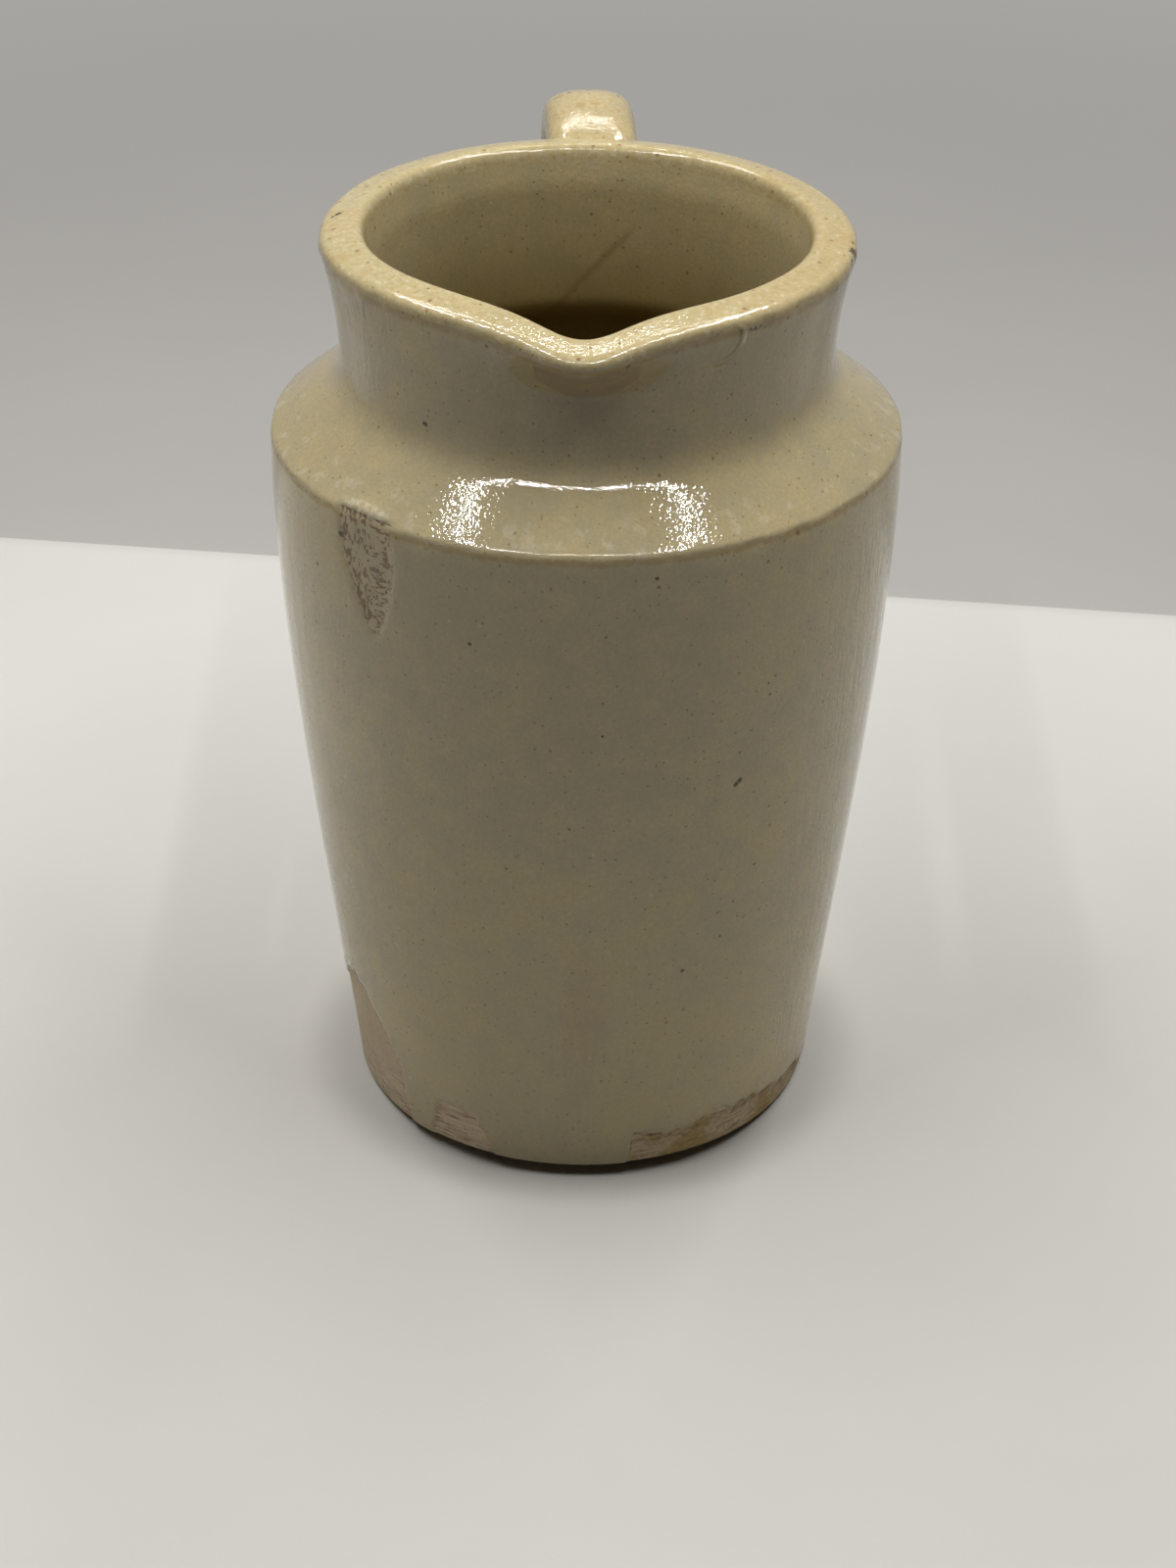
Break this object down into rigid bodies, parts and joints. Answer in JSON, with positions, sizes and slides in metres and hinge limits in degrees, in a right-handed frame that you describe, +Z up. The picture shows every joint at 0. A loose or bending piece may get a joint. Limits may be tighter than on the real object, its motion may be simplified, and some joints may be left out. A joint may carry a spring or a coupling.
{
  "type": "stoneware cream jug",
  "caption": "Small glazed stoneware cream jug: tapered body, sloping shoulder, flared neck, pinched spout and a strap handle at the back.",
  "frame": {"origin": "centre of the flat underside, on the surface that the jug stands on", "axes": "+Z up along the axis of the thrown body, -Y towards the spout, +Y towards the handle"},
  "size_m": [0.065, 0.0814, 0.0986],
  "materials": {
    "glazed_stoneware": "glossy cream glaze with fine iron specks over pale stoneware",
    "glazed_slip": "glossy cream glaze, a little thicker and darker in the fillets"
  },
  "bodies": {
    "root": {"jug_body": "glazed_stoneware", "handle": "glazed_stoneware", "upper_slip_joint": "glazed_slip", "lower_slip_joint": "glazed_slip"}
  },
  "joints": []
}
